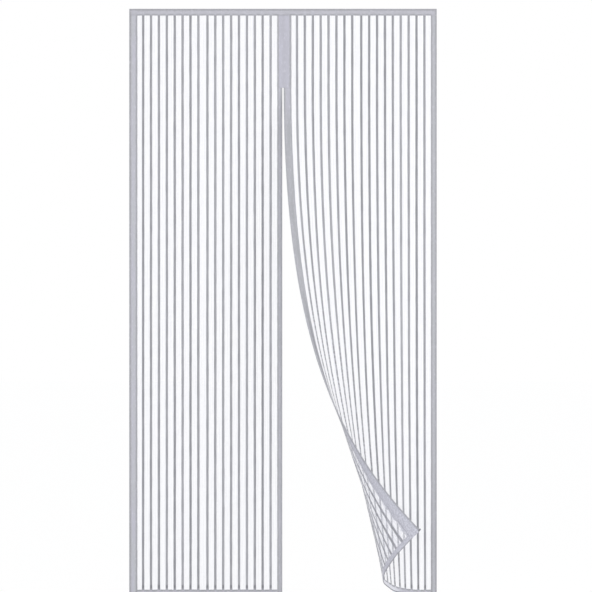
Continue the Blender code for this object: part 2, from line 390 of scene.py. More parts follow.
def make_threads(side, finish):
    """The net's own threads, flat and closely spaced both ways, left out where a stripe covers them."""
    outer, inner, top, bottom = net_limits(side)
    stripes = np.array(stripe_middles(side))
    edges = np.array([[-THREAD_WIDTH / 2], [THREAD_WIDTH / 2]])
    down_count, across_count = THREAD_STEPS[side]
    down_steps = np.linspace(top, bottom, down_count)[None, :]
    across_steps = np.linspace(outer, inner, across_count)[None, :]
    threads = []
    for across in np.arange(outer + THREAD_PITCH, inner, THREAD_PITCH):
        if np.abs(stripes - across).min() >= STRIPE_WIDTH / 2:
            crept = slack(side, np.full(down_steps.shape, across), down_steps)
            threads.append(thread(side, across - crept + edges, down_steps, THREAD_APART))
    for down in np.arange(top + THREAD_PITCH, bottom, THREAD_PITCH):
        threads.append(thread(side, across_steps, down + edges, -THREAD_APART))
    return joined_piece(f"{PANELS[side][0]}_net_threads", threads, finish)


def make_stripes(side, finish):
    """Dense bands woven down the net, a little thicker than it and never quite even in width."""
    _, _, top, bottom = net_limits(side)
    steps = np.linspace(top, bottom, STRIPE_STEPS)
    angles = np.linspace(0, 2 * math.pi, STRIPE_RING, endpoint=False)
    bands = []
    for number, middle in enumerate(stripe_middles(side)):
        uneven = 1 + 0.035 * np.sin(steps * 41 + number * 2.1) + 0.03 * np.sin(steps * 97 + number)
        sway = 0.00016 * np.sin(steps * 9 + number * 1.7) + 0.00010 * np.sin(steps * 47 + number * 4.3)
        sway = sway - slack(side, np.full(steps.shape, middle), steps)
        half = STRIPE_WIDTH / 2 * uneven[:, None]
        across = middle + sway[:, None] + half * np.cos(angles)[None, :]
        down = np.broadcast_to(steps[:, None], across.shape)
        points = on_panel(side, across, down, STRIPE_HALF_THICK * np.sin(angles))
        cloth = np.stack([across, down, heading_at(side, across, down)], axis=-1)
        bands.append((points, tube_faces(*across.shape), cloth))
    return joined_piece(f"{PANELS[side][0]}_stripes", bands, finish)


def strip_outline(width, pocket, bulge):
    """Closed outline (depth, offset) of a folded strip, soft at its fold, with sunken seams.

    bulge is an array along the strip: how far a magnet pushes the leaves out there.
    """
    seams = (SEAM_FROM_MOUTH, width - SEAM_FROM_FOLD)
    near_mouth = [0.0, 0.0006, seams[0] - 0.0009, seams[0], seams[0] + 0.0010]
    between = np.linspace(seams[0] + 0.0030, seams[1] - 0.0012, 5)
    near_fold = width - np.array([SEAM_FROM_FOLD, SEAM_FROM_FOLD - 0.0009, 0.0014, 0.0006, 0.0001])
    depths = np.concatenate([near_mouth, between, near_fold])
    offset = np.full(depths.shape, STRIP_HALF)
    if pocket:
        pocket_from = width - POCKET_WIDTH
        wider = smooth(depths, pocket_from - 0.003, pocket_from + 0.001)
        offset = STRIP_HALF + (POCKET_HALF - STRIP_HALF) * wider
    offset = offset + LEAF_CROWN * np.sin(math.pi * np.clip(depths / width, 0, 1))
    for seam in seams:
        offset = offset - SEAM_DEPTH * np.exp(-(((depths - seam) / SEAM_HALF_WIDTH) ** 2))
    to_fold = np.clip((width - depths) / FOLD_ROUND, 0, 1)
    rounding = np.maximum(np.sqrt(to_fold * (2 - to_fold)), 0.12)
    offset = offset * np.where(depths > width - FOLD_ROUND, rounding, 1.0)
    from_magnet = (depths - (width - 0.5 * POCKET_WIDTH)) / (0.42 * POCKET_WIDTH)
    front = offset[None, :] + bulge[:, None] * np.exp(-(from_magnet**4))[None, :]
    rows = len(bulge)
    slot = (STRIP_HALF - LEAF) * np.array([-1.0, -0.9, 0.9, 1.0])
    offsets = np.concatenate(
        [front, np.zeros((rows, 1)), -front[:, ::-1], np.broadcast_to(slot, (rows, 4))], axis=1
    )
    slot_end = width - 0.0022
    outline = np.concatenate([depths, [width], depths[::-1], [0.0, slot_end, slot_end, 0.0]])
    return np.broadcast_to(outline, offsets.shape), offsets


def magnet_stations():
    """Distances down the centre strips of the magnets' middles."""
    step = (HEM_MOUTH - JOIN_LENGTH) / DRAPE_STEPS
    first = STEPS_PER_MAGNET - (STEPS_PER_MAGNET + 1) // 2 + 0.5
    count = DRAPE_STEPS // STEPS_PER_MAGNET
    return JOIN_LENGTH + step * (first + STEPS_PER_MAGNET * np.arange(count))


def folded_strip(name, node, width, stations, place, finish, pocket=False, rim=None):
    """A folded woven strip along its stations; place(depth, station, proud) gives its points.

    rim(stations) says how strongly its mouth's selvedge shows at each.
    """
    bulge = np.zeros_like(stations)
    if pocket:
        for middle in magnet_stations():
            bulge += MAGNET_BULGE * np.exp(-(((stations - middle) / (MAGNET_LENGTH * 0.56)) ** 6))
    depth, proud = strip_outline(width, pocket, bulge)
    along = np.broadcast_to(stations[:, None], depth.shape)
    waver = 0.00022 * np.sin(along * 61 + width * 900) + 0.00014 * np.sin(along * 143)
    loose_edge = 1 - smooth(depth, 0.0, width * 0.6)
    points = place(depth - waver * loose_edge, along, proud)
    selvedge = rim(stations) if rim else np.ones_like(stations)
    cloth = np.stack([depth, along, np.broadcast_to(selvedge[:, None], depth.shape)], axis=-1)
    rows, ring = depth.shape
    faces = grid_faces(rows, ring, wrap=True)
    faces += end_faces(0, ring, False) + end_faces((rows - 1) * ring, ring, True)
    piece = mesh_piece(name, points, faces, finish, cloth)
    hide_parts(node)
    return piece


def end_faces(first, ring, flip):
    """The cut end of a folded strip: its two leaves and the solid fold between them."""
    slot_points = 4
    last_back = first + ring - slot_points - 1
    fold = (first + last_back) // 2
    back_mouth, back_inner, front_inner, front_mouth = range(last_back + 1, first + ring)
    front = (*range(first, fold + 1), front_inner, front_mouth)
    back = (*range(last_back, fold - 1, -1), back_inner, back_mouth)
    faces = [front[::-1], back, (fold, back_inner, front_inner)]
    return [face[::-1] for face in faces] if flip else faces


def stitches(name, runs, finish):
    """Raised machine stitches. Each run is place(aside, station, proud) and where its stitches start."""
    shares = np.array([0.0, 0.22, 0.78, 1.0])
    lift = np.array([[-0.00016, 0.00012, 0.00012, -0.00016]])
    radius = STITCH_RADIUS * np.array([[0.55, 1.0, 1.0, 0.55]])
    angles = [math.radians(angle) for angle in (0, 90, 180, 270)]
    rings, ring = len(shares), len(angles)
    rows = []
    for place, starts in runs:
        stations = starts[:, None] + STITCH_LENGTH * shares[None, :]
        corners = []
        for angle in angles:
            aside = np.broadcast_to(radius * math.cos(angle) * 1.25, stations.shape)
            corners.append(place(aside, stations, lift + radius * math.sin(angle)))
        points = np.stack(corners, axis=2)
        marks = np.broadcast_to(stations[:, :, None], points.shape[:3])
        cloth = np.stack([np.zeros_like(marks), marks, np.zeros_like(marks)], axis=-1)
        faces = []
        for number in range(len(starts)):
            faces += tube_faces(rings, ring, number * rings * ring)
        rows.append((points, faces, cloth))
    return joined_piece(name, rows, finish)


def seam_starts(low, high):
    return np.arange(low + 0.002, high - STITCH_LENGTH - 0.001, STITCH_PITCH)


# Materials


class Nodes:
    """The node tree of a material or world, with short calls for the kinds of node used here."""

    def __init__(self, owner, output="ShaderNodeOutputMaterial"):
        owner.use_nodes = True
        self.owner = owner
        self.tree = owner.node_tree
        self.tree.nodes.clear()
        self.output = self.tree.nodes.new(output)

    def node(self, kind, **settings):
        made = self.tree.nodes.new(kind)
        for key, value in settings.items():
            setattr(made, key, value)
        return made

    def link(self, source, target):
        self.tree.links.new(source, target)

    def put(self, socket, value):
        if isinstance(value, bpy.types.NodeSocket):
            self.link(value, socket)
        elif isinstance(value, tuple) and len(value) == 3 and socket.type == "RGBA":
            socket.default_value = (*value, 1)
        else:
            socket.default_value = value

    def shader(self, kind, **values):
        """A shader node, with its inputs by name."""
        made = self.node(kind)
        for key, value in values.items():
            self.put(made.inputs[key.replace("_", " ")], value)
        return made

    def shown(self, shader):
        """The material or world, finished with this shader."""
        self.link(shader.outputs[0], self.output.inputs[0])
        return self.owner

    def math(self, operation, a, b=0.0, c=0.0):
        made = self.node("ShaderNodeMath", operation=operation)
        for socket, value in zip(made.inputs, (a, b, c)):
            self.put(socket, value)
        return made.outputs[0]

    def times(self, a, b):
        return self.math("MULTIPLY", a, b)

    def less(self, value, share):
        """What is left of the value after this share of it."""
        return self.times(value, self.math("SUBTRACT", 1.0, share))

    def mix(self, factor, a, b):
        made = self.node("ShaderNodeMix", data_type="RGBA")
        self.put(made.inputs["Factor"], factor)
        self.put(made.inputs[6], a)
        self.put(made.inputs[7], b)
        return made.outputs[2]

    def drifting(self, factor, tones):
        """A colour between two tones given as 0 to 255."""
        return self.mix(factor, *(linear(*tone) for tone in tones))

    def cloth(self):
        """Across, along and the third value of the piece's own cloth, and the three as a vector."""
        attribute = self.node("ShaderNodeAttribute", attribute_name="cloth")
        split = self.node("ShaderNodeSeparateXYZ")
        self.link(attribute.outputs["Vector"], split.inputs[0])
        return split.outputs[0], split.outputs[1], split.outputs[2], attribute.outputs["Vector"]

    def noise(self, vector, scale, detail=2.0, roughness=0.5):
        made = self.node("ShaderNodeTexNoise")
        self.link(vector, made.inputs["Vector"])
        made.inputs["Scale"].default_value = scale
        made.inputs["Detail"].default_value = detail
        made.inputs["Roughness"].default_value = roughness
        return made.outputs["Fac"]

    def streaks(self, vector, x, y, detail=2.0, roughness=0.5, z=1.0):
        """Noise with a scale of its own across the cloth, along it and for the third value."""
        made = self.node("ShaderNodeVectorMath", operation="MULTIPLY")
        self.link(vector, made.inputs[0])
        made.inputs[1].default_value = (x, y, z)
        return self.noise(made.outputs[0], 1.0, detail, roughness)

    def ramp(self, value, low, high, to_low=0.0, to_high=1.0):
        made = self.node("ShaderNodeMapRange", interpolation_type="SMOOTHSTEP")
        for key, number in (("Value", value), ("From Min", low), ("From Max", high)):
            self.put(made.inputs[key], number)
        self.put(made.inputs["To Min"], to_low)
        self.put(made.inputs["To Max"], to_high)
        return made.outputs[0]

    def weave(self, across, along, pitch_across, pitch_along):
        """Height of a plain weave: warp and weft in turn on top."""
        a = self.math("SINE", self.times(across, 2 * math.pi / pitch_across))
        b = self.math("SINE", self.times(along, 2 * math.pi / pitch_along))
        return self.math("MULTIPLY_ADD", self.times(a, b), 0.5, 0.5)

    def bump(self, height, distance, strength=1.0):
        made = self.node("ShaderNodeBump")
        self.link(height, made.inputs["Height"])
        made.inputs["Distance"].default_value = distance
        made.inputs["Strength"].default_value = strength
        return made.outputs[0]

    def principled(self, **values):
        return self.shown(self.shader("ShaderNodeBsdfPrincipled", **values))

    def seen_directly(self):
        """1 for rays from the camera, also by way of a gloss or through something clear."""
        rays = self.node("ShaderNodeLightPath").outputs
        seen = self.math("MAXIMUM", rays["Is Camera Ray"], rays["Is Glossy Ray"])
        return self.math("MAXIMUM", seen, rays["Is Transmission Ray"])

    def blend(self, factor, first, second):
        made = self.node("ShaderNodeMixShader")
        self.put(made.inputs[0], factor)
        self.link(first.outputs[0], made.inputs[1])
        self.link(second.outputs[0], made.inputs[2])
        return made


def new_material(name):
    return Nodes(bpy.data.materials.new(name))


def linear(red, green, blue):
    """Scene colour from the 0 to 255 values that a picture shows."""
    def channel(value):
        share = value / 255
        return share / 12.92 if share <= 0.04045 else ((share + 0.055) / 1.055) ** 2.4

    return channel(red), channel(green), channel(blue)


# Pairs of tones, as 0 to 255, between which the cloth drifts
SIDE_TONES = {LEFT: ((187, 188, 193), (190, 189, 199)), RIGHT: ((181, 183, 187), (184, 184, 190))}
CENTRE_TONES = {LEFT: ((177, 177, 184), (186, 185, 193)), RIGHT: ((166, 167, 171), (180, 180, 185))}
HEADER_TONES = ((181, 180, 187), (189, 188, 196))
JOIN_TONES = ((182, 181, 191), (190, 189, 200))
HEM_TONES = ((186, 186, 193), (194, 193, 202))
SELVEDGE = ((163, 163, 167), (169, 169, 175))
SOFT_SELVEDGE = ((170, 171, 175), (177, 177, 183))
TURNED = ((180, 180, 191), (210, 210, 220))
TURNED_HEM = ((182, 182, 192), (205, 205, 215))

# Where along a strip its back comes into view, and the tones of that back
CENTRE_BACK = {LEFT: None, RIGHT: ((1.50, 1.64), TURNED)}
HEM_BACK = {LEFT: None, RIGHT: ((0.15, 0.21), TURNED_HEM)}

# Tones that come and go along a strip
BELOW_JOIN = ((0.0, 0.01), (0.32, 0.43), (188, 187, 197), 0.85)
# Painted shade on the right centre strip where it turns edgewise, away from the light
EDGEWISE_SHADE = ((1.02, 1.22), (1.50, 1.60), (140, 140, 147), 0.9)
CURLED = ((0.14, 0.20), (0.31, 0.37), (238, 238, 244), 0.85)
CENTRE_BANDS = {LEFT: (BELOW_JOIN,), RIGHT: (BELOW_JOIN, EDGEWISE_SHADE)}
HEM_BANDS = {LEFT: (), RIGHT: (CURLED,)}


def crest_of_fold(n, heading):
    """1 along the line where the cloth turns over: its threads crowd together there, and the net gets
    painted shade there.
    """
    off_crest = n.math("ABSOLUTE", n.math("SUBTRACT", heading, math.radians(90)))
    return n.ramp(off_crest, *CREST_REACH, 1.0, 0.0)


def doubled_cloth(n, vector, tones):
    """Blotches where two layers of net are seen through each other."""
    return n.drifting(n.ramp(n.streaks(vector, 230.0, 150.0, 3.0, 0.6), 0.40, 0.60), tones)


def net_material():
    """Fine net seen as a veil, slightly bunched and so denser where it is turned over, with painted shade
    along the crest of its fold.
    """
    n = new_material("net")
    across, along, heading, vector = n.cloth()
    turned = n.ramp(heading, *TURNED_OVER)
    plain = n.mix(n.streaks(vector, 22.0, 9.0), linear(238, 238, 247), linear(246, 246, 250))
    streak = n.ramp(n.streaks(vector, 300.0, 5.0, 3.0), 0.35, 0.75)
    plain_veil = n.math("MULTIPLY_ADD", streak, 0.12, 0.03)
    folds = n.ramp(n.streaks(vector, 160.0, 30.0, 2.0, 0.55), 0.40, 0.62)
    streaked = n.mix(folds, linear(250, 250, 254), linear(216, 216, 227))
    streaked_veil = n.math("MULTIPLY_ADD", folds, 0.20, 0.08)

    mouth = PANEL_WIDTH - RIGHT_CENTRE_WIDTH
    wander = n.streaks(vector, 85.0, 62.0, 2.0, 0.6)
    ragged = n.math("ADD", across, n.math("MULTIPLY_ADD", wander, 0.012, -0.006))
    hemmed = n.ramp(ragged, mouth - FLAP_SLACK - 0.0015, mouth - FLAP_SLACK + 0.0015)
    hemmed = n.times(n.times(hemmed, n.ramp(along, *DOUBLED_NET_COMES)), turned)
    from_line = n.math("ABSOLUTE", n.math("SUBTRACT", ragged, mouth - 0.0050))
    line = n.ramp(from_line, 0.0010, 0.0032, 0.75, 0.0)
    doubled = n.mix(line, doubled_cloth(n, vector, TURNED), linear(166, 166, 176))

    crest = crest_of_fold(n, heading)
    colour = n.mix(hemmed, n.mix(turned, plain, streaked), doubled)
    # Painted shade along the crest of the fold; the crest's denser veil further down is the crowding of the
    # threads
    colour = n.mix(n.times(crest, 0.6), colour, linear(150, 150, 158))
    veil = n.math("ADD", n.less(plain_veil, turned), n.times(streaked_veil, turned))
    veil = n.math("ADD", veil, n.times(hemmed, 0.9))
    veil = n.math("MINIMUM", n.math("ADD", veil, n.times(crest, 0.30)), 0.96)
    weave = n.weave(across, along, THREAD_PITCH * 2, THREAD_PITCH * 2)
    return n.principled(
        Base_Color=colour,
        Roughness=0.72,
        Alpha=veil,
        Normal=n.bump(weave, 0.0003, 0.4),
        Sheen_Weight=0.15,
        Specular_IOR_Level=0.25,
    )


def thread_material():
    n = new_material("net_thread")
    across, along, _, vector = n.cloth()
    patch = n.streaks(vector, 30.0, 14.0, 3.0)
    streak = n.streaks(vector, 210.0, 4.0)
    colour = n.mix(patch, linear(240, 240, 249), linear(247, 247, 251))
    colour = n.mix(n.ramp(streak, 0.5, 0.78, 0.0, 0.7), colour, linear(222, 222, 238))
    twist = n.math("SINE", n.times(n.math("ADD", across, along), 2 * math.pi / 0.0007))
    bump = n.bump(twist, 0.00005, 0.5)
    return n.principled(Base_Color=colour, Roughness=0.55, Normal=bump, Specular_IOR_Level=0.35)


def stripe_material():
    """Dense weave, grey beside the white net. Each stripe has its own tone, which drifts a little."""
    n = new_material("stripe_weave")
    across, along, heading, vector = n.cloth()
    turned = n.ramp(heading, *TURNED_OVER)
    tone = n.streaks(vector, 90.0, 15.0, 3.0)
    own = n.ramp(n.streaks(vector, 90.0, 0.15, 1.0, z=0.0), 0.36, 0.64, 0.0, 0.65)
    shade = n.math("ADD", own, n.ramp(tone, 0.3, 0.7, 0.0, 0.35))
    colour = n.mix(shade, linear(137, 138, 142), linear(172, 172, 177))
    # Where a stripe is turned over it is drawn paler in patches, and its Alpha below makes it partly
    # see-through
    pale_patches = n.ramp(n.streaks(vector, 110.0, 80.0, 3.0, 0.65), 0.42, 0.60, 0.15, 0.75)
    colour = n.mix(n.times(pale_patches, turned), colour, linear(192, 192, 202))
    nearing = n.less(n.ramp(heading, math.radians(30), math.radians(62)), turned)
    jagged = n.ramp(n.streaks(vector, 70.0, 135.0), 0.46, 0.56)
    ends = n.mix(jagged, linear(126, 127, 131), linear(206, 206, 214))
    colour = n.mix(n.times(nearing, 0.7), colour, ends)
    above = n.ramp(along, HEM_MOUTH - 0.020, HEM_MOUTH - 0.013, 0.0, 0.65)
    caught = n.times(above, n.ramp(along, HEM_MOUTH - 0.008, HEM_MOUTH - 0.003, 1.0, 0.0))
    colour = n.mix(n.less(caught, turned), colour, linear(106, 106, 112))
    weave = n.weave(across, along, 0.0011, 0.0013)
    colour = n.mix(n.ramp(weave, 0.1, 0.9, 0.0, 0.12), colour, linear(196, 196, 206))
    height = n.math("MULTIPLY_ADD", n.noise(vector, 2600.0), 0.35, weave)
    return n.principled(
        Base_Color=colour,
        Roughness=n.ramp(tone, 0.2, 0.8, 0.72, 0.86),
        Alpha=n.math("MULTIPLY_ADD", turned, -0.26, 1.0),
        Normal=n.bump(height, 0.00018, 0.8),
        Sheen_Weight=0.2,
    )


def strip_material(name, width, middle_tones, rim_tones, back=None, bands=(), closed_ends=False):
    """Folded woven edging of one width: a pale middle between denser, darker selvedges.

    back is where along the strip its back comes into view, and the tones of that back. Each of
    bands is where it comes and goes along the strip, its tone and how much of it shows.
    closed_ends darkens the two ends as well.
    """
    n = new_material(name)
    across, along, mouth, vector = n.cloth()
    drift = n.math("MULTIPLY_ADD", n.streaks(vector, 120.0, 46.0, 3.0), 0.0030, -0.0015)
    from_mouth = n.math("ADD", across, drift)
    from_fold = n.math("SUBTRACT", n.math("ADD", drift, width), across)
    rim = n.times(n.ramp(from_mouth, *MOUTH_RIM_FADES, 1.0, 0.0), mouth)
    if back:
        turned = n.ramp(along, *back[0])
        from_fold = n.math("MULTIPLY_ADD", turned, 0.0034, from_fold)
    rim = n.math("MAXIMUM", rim, n.ramp(from_fold, *FOLD_RIM_FADES, 1.0, 0.0))
    if closed_ends:
        from_end = n.math("SUBTRACT", HALF_WIDTH, n.math("ABSOLUTE", along))
        at_end = n.ramp(n.math("ADD", from_end, drift), *FOLD_RIM_FADES, 1.0, 0.0)
        rim = n.math("MAXIMUM", rim, at_end)
    patch = n.streaks(vector, 60.0, 9.0, 3.0)
    grain = n.streaks(vector, 210.0, 70.0, 4.0, 0.65)
    middle = n.drifting(n.ramp(patch, 0.3, 0.7), middle_tones)
    dense = n.drifting(n.ramp(patch, 0.3, 0.7), rim_tones)
    if back:
        middle = n.mix(turned, middle, doubled_cloth(n, vector, back[1]))
        dense = n.mix(n.times(turned, 0.5), dense, linear(148, 148, 156))
    for comes, goes, tone, share in bands:
        inside = n.times(n.ramp(along, *comes), n.ramp(along, *goes, 1.0, 0.0))
        middle = n.mix(n.times(inside, share), middle, linear(*tone))
    colour = n.mix(rim, middle, dense)
    colour = n.mix(n.ramp(grain, 0.52, 0.72, 0.0, 0.35), colour, linear(224, 223, 233))
    colour = n.mix(n.ramp(grain, 0.48, 0.30, 0.0, 0.22), colour, linear(160, 159, 170))
    weave = n.weave(across, along, 0.0010, 0.0012)
    colour = n.mix(n.ramp(weave, 0.0, 1.0, 0.0, 0.10), colour, linear(228, 227, 236))
    height = n.math("MULTIPLY_ADD", n.noise(vector, 2400.0), 0.3, weave)
    roughness = n.ramp(patch, 0.2, 0.8, 0.74, 0.88)
    bump = n.bump(height, 0.0002, 0.8)
    return n.principled(Base_Color=colour, Roughness=roughness, Normal=bump, Sheen_Weight=0.25)


def stitch_material(name, *tones):
    n = new_material(name)
    _, along, _, vector = n.cloth()
    colour = n.drifting(n.streaks(vector, 1.0, 160.0), tones)
    twist = n.math("SINE", n.times(along, 2 * math.pi / 0.0006))
    return n.principled(Base_Color=colour, Roughness=0.5, Normal=n.bump(twist, 0.00006, 0.7))


def loop_material():
    """Brushed loop pile: a mat of small curls, flatter and tighter along its woven edges, with painted shade
    where the pile is low.
    """
    n = new_material("loop_pile")
    across, _, width, vector = n.cloth()
    edge = n.math("MINIMUM", across, n.math("SUBTRACT", width, across))
    pile = n.ramp(edge, 0.0008, 0.0016)
    curls = n.node("ShaderNodeTexVoronoi", feature="SMOOTH_F1")
    n.link(vector, curls.inputs["Vector"])
    curls.inputs["Scale"].default_value = 1150.0
    fuzz = n.noise(vector, 3200.0, 3.0)
    height = n.times(n.math("ADD", curls.outputs["Distance"], fuzz), pile)
    colour = n.mix(n.streaks(vector, 60.0, 30.0, 3.0), linear(196, 196, 203), linear(216, 216, 222))
    # Painted shade: darker where the pile is low, down between the curls and on the flat woven edges
    colour = n.mix(n.ramp(height, 0.2, 1.0, 0.0, 0.45), linear(172, 172, 180), colour)
    bump = n.bump(height, 0.0006, 1.0)
    return n.principled(Base_Color=colour, Roughness=0.92, Normal=bump, Sheen_Weight=0.4)


def magnet_material():
    n = new_material("magnet_bar")
    _, _, _, place = n.cloth()
    grain = n.noise(place, 1500.0, 4.0, 0.6)
    colour = n.mix(grain, (0.012, 0.012, 0.014), (0.035, 0.034, 0.036))
    roughness = n.ramp(grain, 0.3, 0.7, 0.35, 0.6)
    bump = n.bump(grain, 0.0001, 0.4)
    return n.principled(Base_Color=colour, Roughness=roughness, Metallic=0.7, Normal=bump)


# Pieces made of the parts above


def hem_rim(side):
    """The hem's mouth shows dark between the stripes, and hardly at all where it is turned over."""

    def strength(across):
        broken = 1 - 0.75 * near_stripe(side, across)
        turned = smooth(across, *HEM_MOUTH_GOES) if side == RIGHT else 0.0
        return broken * (1 - turned)

    return strength


def centre_rim(side):
    """The right centre strip's mouth goes where its corner is turned over. The left one's stays."""
    return (lambda down: 1 - smooth(down, *CENTRE_MOUTH_GOES)) if side == RIGHT else None


def header_rim(x):
    """The header's mouth shows dark between the stripes, and not at the sides or at the flat strip."""
    low, high = LEFT_SIDE_WIDTH - HALF_WIDTH, HALF_WIDTH - RIGHT_SIDE_WIDTH
    between_sides = smooth(x, low - 0.004, low) * (1 - smooth(x, high, high + 0.004))
    low, high = box_low("centre_join_strip")[X], box_high("centre_join_strip")[X]
    at_join = smooth(x, low + 0.003, low + 0.008) * (1 - smooth(x, high - 0.008, high - 0.003))
    on_stripes = np.maximum(near_stripe(LEFT, x + HALF_WIDTH), near_stripe(RIGHT, HALF_WIDTH - x))
    return between_sides * (1 - 0.85 * at_join) * (1 - 0.8 * on_stripes)


def strip_places(side):
    """place(depth, station, proud) of a panel's side strip, centre strip and bottom hem."""
    _, side_width, centre_width = PANELS[side]
    return (
        lambda depth, down, proud: on_panel(side, side_width - depth, down, proud),
        lambda depth, down, proud: on_panel(side, PANEL_WIDTH - centre_width + depth, down, proud),
        lambda depth, across, proud: on_panel(side, across, HEM_MOUTH + depth, proud),
    )


def make_edgings():
    """Every folded strip, by name."""
    header_line = np.linspace(-HALF_WIDTH, HALF_WIDTH, 440)
    finish = strip_material("header_weave", HEADER_WIDTH, HEADER_TONES, SELVEDGE, closed_ends=True)
    made = {}
    made["header"] = folded_strip(
        "header_edging", "header_strip", HEADER_WIDTH, header_line, on_header, finish, rim=header_rim
    )
    down = np.linspace(HEADER_WIDTH + CLEARANCE, SCREEN_HEIGHT, 230)
    for side in (LEFT, RIGHT):
        name, side_width, centre_width = PANELS[side]
        side_place, centre_place, hem_place = strip_places(side)
        finish = strip_material(f"{name}_side_weave", side_width, SIDE_TONES[side], SELVEDGE)
        made[f"{name}_side"] = folded_strip(
            f"{name}_side_edging", f"{name}_side_strip", side_width, down, side_place, finish
        )
        finish = strip_material(
            f"{name}_centre_weave",
            centre_width,
            CENTRE_TONES[side],
            SOFT_SELVEDGE,
            CENTRE_BACK[side],
            CENTRE_BANDS[side],
        )
        made[f"{name}_centre"] = folded_strip(
            f"{name}_centre_edging",
            f"{name}_centre_strip",
            centre_width,
            down,
            centre_place,
            finish,
            pocket=True,
            rim=centre_rim(side),
        )
        finish = strip_material(
            f"{name}_hem_weave", HEM_WIDTH, HEM_TONES, SELVEDGE, HEM_BACK[side], HEM_BANDS[side]
        )
        across = np.linspace(side_width + CLEARANCE, PANEL_WIDTH - centre_width - CLEARANCE, 200)
        made[f"{name}_hem"] = folded_strip(
            f"{name}_hem_edging",
            f"{name}_bottom_hem",
            HEM_WIDTH,
            across,
            hem_place,
            finish,
            rim=hem_rim(side),
        )
    return made


def make_join():
    """The flat strip that joins the panels above the opening, gently crowned and rounded at its edges."""
    low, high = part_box("centre_join_strip")
    width, thick = high[X] - low[X], high[Y] - low[Y]
    edge, seam = 0.012, 0.07
    half = [0.0, edge, 0.04, seam, 0.2, 0.38]
    share = np.array([*half, 0.5, *(1 - place for place in reversed(half))])
    crown = 0.00025 * np.sin(math.pi * share)
    for middle in (seam, 1 - seam):
        crown = crown - 0.0002 * np.exp(-(((share - middle) / 0.02) ** 2))
    rounded = np.minimum(1.0, np.sqrt(np.minimum(share, 1 - share) / edge + 0.08))
    front = -(thick / 2) * rounded - crown
    back = (thick / 2) * rounded[::-1]
    x_ring = low[X] + width * np.concatenate([share, share[::-1]])
    z_line = np.linspace(low[Z], high[Z], 40)[:, None]
    points = np.empty((len(z_line), len(x_ring), 3))
    points[..., X] = x_ring
    points[..., Y] = (low[Y] + high[Y]) / 2 + np.concatenate([front, back])
    points[..., Z] = z_line
    cloth = np.ones_like(points)
    cloth[..., 0] = x_ring - low[X]
    cloth[..., 1] = TOP_Z - z_line
    finish = strip_material("join_weave", width, JOIN_TONES, SELVEDGE)
    faces = tube_faces(*points.shape[:2])
    piece = mesh_piece("join_edging", points, faces, finish, cloth)
    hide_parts("centre_join_strip")
    return piece


def make_magnets(finish):
    """Sintered bars with worn edges, lying along the centre strips' pockets."""
    worn = 0.00035
    half_width, half_thick, half_length = MAGNET_WIDTH / 2, MAGNET_THICKNESS / 2, MAGNET_LENGTH / 2
    ring = []
    for turn, (across_sign, proud_sign) in enumerate(((1, 1), (-1, 1), (-1, -1), (1, -1))):
        for angle in (0.0, 45.0, 90.0):
            bend = math.radians(angle + 90 * turn)
            across = across_sign * (half_width - worn) + worn * math.cos(bend)
            ring.append((across, proud_sign * (half_thick - worn) + worn * math.sin(bend)))
    down = np.array([-half_length, worn - half_length, 0.0, half_length - worn, half_length])
    narrowed = np.array([[worn], [0.0], [0.0], [0.0], [worn]])
    aside, proud = (place[None, :] - np.sign(place)[None, :] * narrowed for place in np.array(ring).T)
    pocket_middle = PANEL_WIDTH - LEAF - POCKET_WIDTH / 2
    faces = tube_faces(*aside.shape)
    for side in (LEFT, RIGHT):
        name = PANELS[side][0]
        for number, station in enumerate(magnet_stations(), 1):
            along = np.broadcast_to((station + down)[:, None], aside.shape)
            points = on_panel(side, pocket_middle + aside, along, proud)
            cloth = np.stack([aside, along, proud], axis=-1)
            piece = mesh_piece(f"{name}_magnet_bar_{number:02d}", points, faces, finish, cloth)
            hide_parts(f"{name}_magnet_{number:02d}")


def make_fasteners(finish):
    """Loop strips sewn flat behind the header and the sides, with an uneven brushed surface."""
    share = np.concatenate([[0, 0.02], np.linspace(0.09, 0.91, 11), [0.98, 1.0]])
    pile = smooth(np.minimum(share, 1 - share), 0.03, 0.1)[None, :]
    ring_share = np.concatenate([share, share[::-1]])
    for node in ("header_fastener", "left_side_fastener", "right_side_fastener"):
        low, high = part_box(node)
        level = high[X] - low[X] > high[Z] - low[Z]
        long_axis, cross_axis = (X, Z) if level else (Z, X)
        length, width = high[long_axis] - low[long_axis], high[cross_axis] - low[cross_axis]
        along = np.linspace(0, length, int(length / 0.0045))[:, None]
        wave = np.sin(along * 1900 + 3 * np.sin(share * 37)[None, :])
        wave = wave * np.cos(along * 733 + share[None, :] * 59)
        top = high[Y] - 0.0005 * (1 - pile) - 0.0001 + 0.00013 * wave * pile
        points = np.empty((len(along), len(ring_share), 3))
        points[..., long_axis] = low[long_axis] + along
        points[..., cross_axis] = low[cross_axis] + ring_share * width
        points[..., Y] = np.concatenate([top, np.full(top.shape, low[Y])], axis=1)
        cloth = np.full(points.shape, width)
        cloth[..., 0] = ring_share * width
        cloth[..., 1] = along
        name = node.replace("fastener", "loop_strip")
        faces = tube_faces(*points.shape[:2])
        piece = mesh_piece(name, points, faces, finish, cloth)
        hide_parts(node)


def seam_rows(place, width, fold_half, starts):
    """The stitches near the mouth and near the fold of a strip, on both its faces."""
    rows = []
    for face in (1, -1):
        for depth, half in ((SEAM_FROM_MOUTH, STRIP_HALF), (width - SEAM_FROM_FOLD, fold_half)):

            def on_face(aside, station, proud, face=face, depth=depth, level=half - STITCH_SUNK):
                return place(depth + aside, station, face * (level + proud))

            rows.append((on_face, starts))
    return rows


